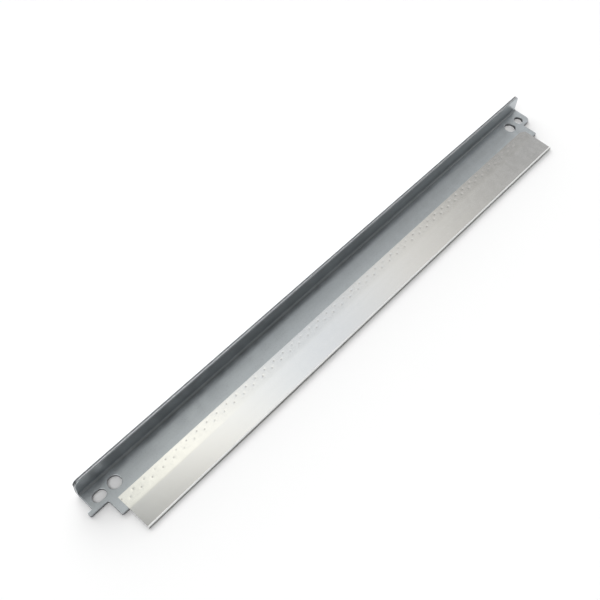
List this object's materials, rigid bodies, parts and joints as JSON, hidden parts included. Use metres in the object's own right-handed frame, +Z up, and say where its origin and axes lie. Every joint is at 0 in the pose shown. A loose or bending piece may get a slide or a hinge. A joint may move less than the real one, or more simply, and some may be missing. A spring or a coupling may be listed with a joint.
{
  "type": "toner cartridge doctor blade",
  "caption": "Metering blade for a laser printer's toner cartridge: thin bent-edge steel strip welded along a galvanised angle bracket with end ears, holes and a locating slot.",
  "frame": {"origin": "on the bracket's underside, midway between the centres of the two screw holes", "axes": "+X along the bar towards the round locating hole, +Y back towards the upright flange, +Z up the flange"},
  "size_m": [0.2371, 0.0245, 0.0086],
  "materials": {
    "galvanised_sheet": "zinc coated sheet, fine even grain, satin grey",
    "spring_steel": "bright cold rolled strip with fine lengthwise grain, spot weld marks along its rear"
  },
  "bodies": {
    "root": {"bracket": "galvanised_sheet", "blade": "spring_steel"}
  },
  "joints": []
}
